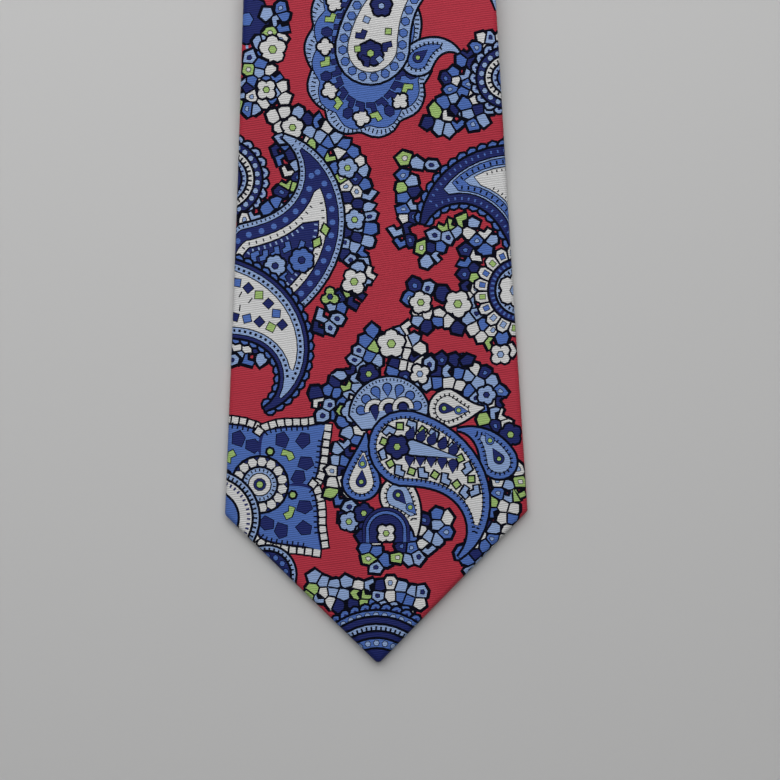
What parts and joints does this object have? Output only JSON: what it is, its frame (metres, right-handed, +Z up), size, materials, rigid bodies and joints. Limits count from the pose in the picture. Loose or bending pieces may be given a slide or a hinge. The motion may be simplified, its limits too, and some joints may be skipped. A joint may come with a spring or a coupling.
{
  "type": "necktie",
  "caption": "Wide silk necktie with a paisley print, folded at its neck with the tail blade laid under the pointed front blade.",
  "frame": {"origin": "on the table under the middle of the folded tie's length and width", "axes": "+Z up from the table, +Y along the tie towards its neck fold, so the front blade's point is at -Y and its printed face is up"},
  "size_m": [0.095, 0.85, 0.013],
  "materials": {
    "printed_silk": "printed silk twill with a soft sheen",
    "tipping_lining": "plain lining cloth in a darker red",
    "wool_interlining": "brushed wool-blend interlining, undyed",
    "thread": "twisted silk sewing thread",
    "woven_label": "navy damask label cloth, blank",
    "care_tag_satin": "white satin tape, blank"
  },
  "bodies": {
    "tail_half": {"tail_shell": "printed_silk", "neck_shell_tail": "printed_silk", "tail_interlining": "wool_interlining", "tail_tipping": "tipping_lining", "tail_bar_tack": "thread", "tail_slip_stitch": "thread", "tail_label": "woven_label", "tail_label_stitches": "thread"},
    "neck_fold": {"neck_fold_shell": "printed_silk", "neck_fold_interlining": "wool_interlining", "neck_fold_slip_stitch": "thread"},
    "front_half": {"front_shell_upper": "printed_silk", "neck_shell_front": "printed_silk", "front_interlining_upper": "wool_interlining", "front_slip_stitch_upper": "thread"},
    "blade_end": {"front_shell_lower": "printed_silk", "front_interlining_lower": "wool_interlining", "front_tipping": "tipping_lining", "front_bar_tack": "thread", "front_slip_stitch_lower": "thread", "keeper_loop": "printed_silk", "keeper_stitches": "thread", "woven_label": "woven_label", "woven_label_stitches": "thread"},
    "care_tag": {"care_tag": "care_tag_satin"}
  },
  "joints": [
    {"name": "neck_fold_lower", "type": "hinge", "parent": "tail_half", "child": "neck_fold", "pos_m": [0, 0.4231, 0.0019], "axis": [1, 0, 0], "range_deg": [-90.2, 0]},
    {"name": "neck_fold_upper", "type": "hinge", "parent": "neck_fold", "child": "front_half", "pos_m": [0, 0.4231, 0.0111], "axis": [1, 0, 0], "range_deg": [-90.2, 0]},
    {"name": "blade_lift", "type": "hinge", "parent": "front_half", "child": "blade_end", "pos_m": [0, -0.085, 0.0165], "axis": [-1, 0, 0], "range_deg": [0, 182]},
    {"name": "care_tag_flip", "type": "hinge", "parent": "blade_end", "child": "care_tag", "pos_m": [0, -0.295, 0.00025], "axis": [0, -1, 0], "range_deg": [0, 178]}
  ],
  "couplings": [
    {"joint": "neck_fold_upper", "follows": "neck_fold_lower", "ratio": 1}
  ]
}
